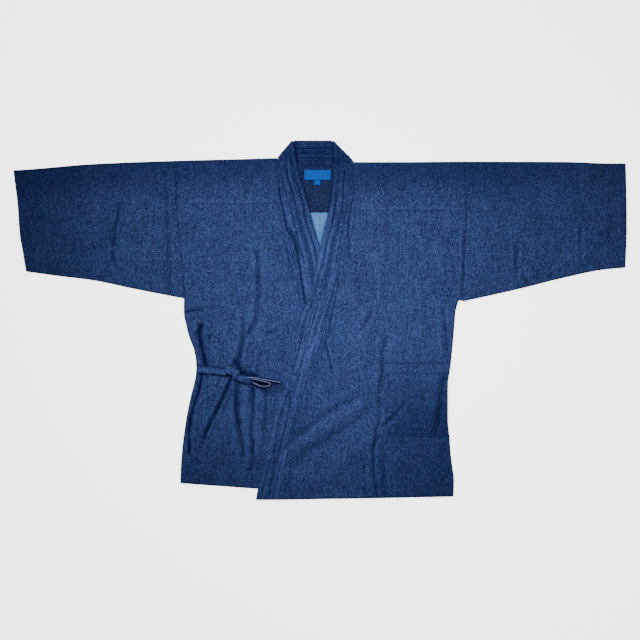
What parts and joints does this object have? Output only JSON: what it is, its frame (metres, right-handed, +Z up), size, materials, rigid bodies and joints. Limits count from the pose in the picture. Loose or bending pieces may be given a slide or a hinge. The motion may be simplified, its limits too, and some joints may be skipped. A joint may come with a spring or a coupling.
{
  "type": "samue jacket laid flat",
  "caption": "Denim samue jacket laid flat, fronts crossed and tied at the side, with straight sleeves, a banded collar and a patch pocket.",
  "frame": {"origin": "middle of the jacket's outline, on the surface that it lies on", "axes": "+X towards the wearer's left cuff, +Y towards the collar, +Z up through the layers, with the front uppermost"},
  "size_m": [1.4099, 0.8245, 0.0195],
  "materials": {
    "denim": "matte heathered indigo denim",
    "lining": "matte dark plain weave",
    "label": "satin woven tape, blank"
  },
  "bodies": {
    "root": {"body_right": "denim", "body_left": "denim", "sleeve_right": "denim", "sleeve_left": "denim", "collar": "denim", "yoke_lining": "lining", "neck_label": "label", "size_tab": "label", "pocket": "denim", "tie_side": "denim", "tie_front": "denim", "tie_loop": "denim", "tie_knot": "denim"}
  },
  "joints": []
}
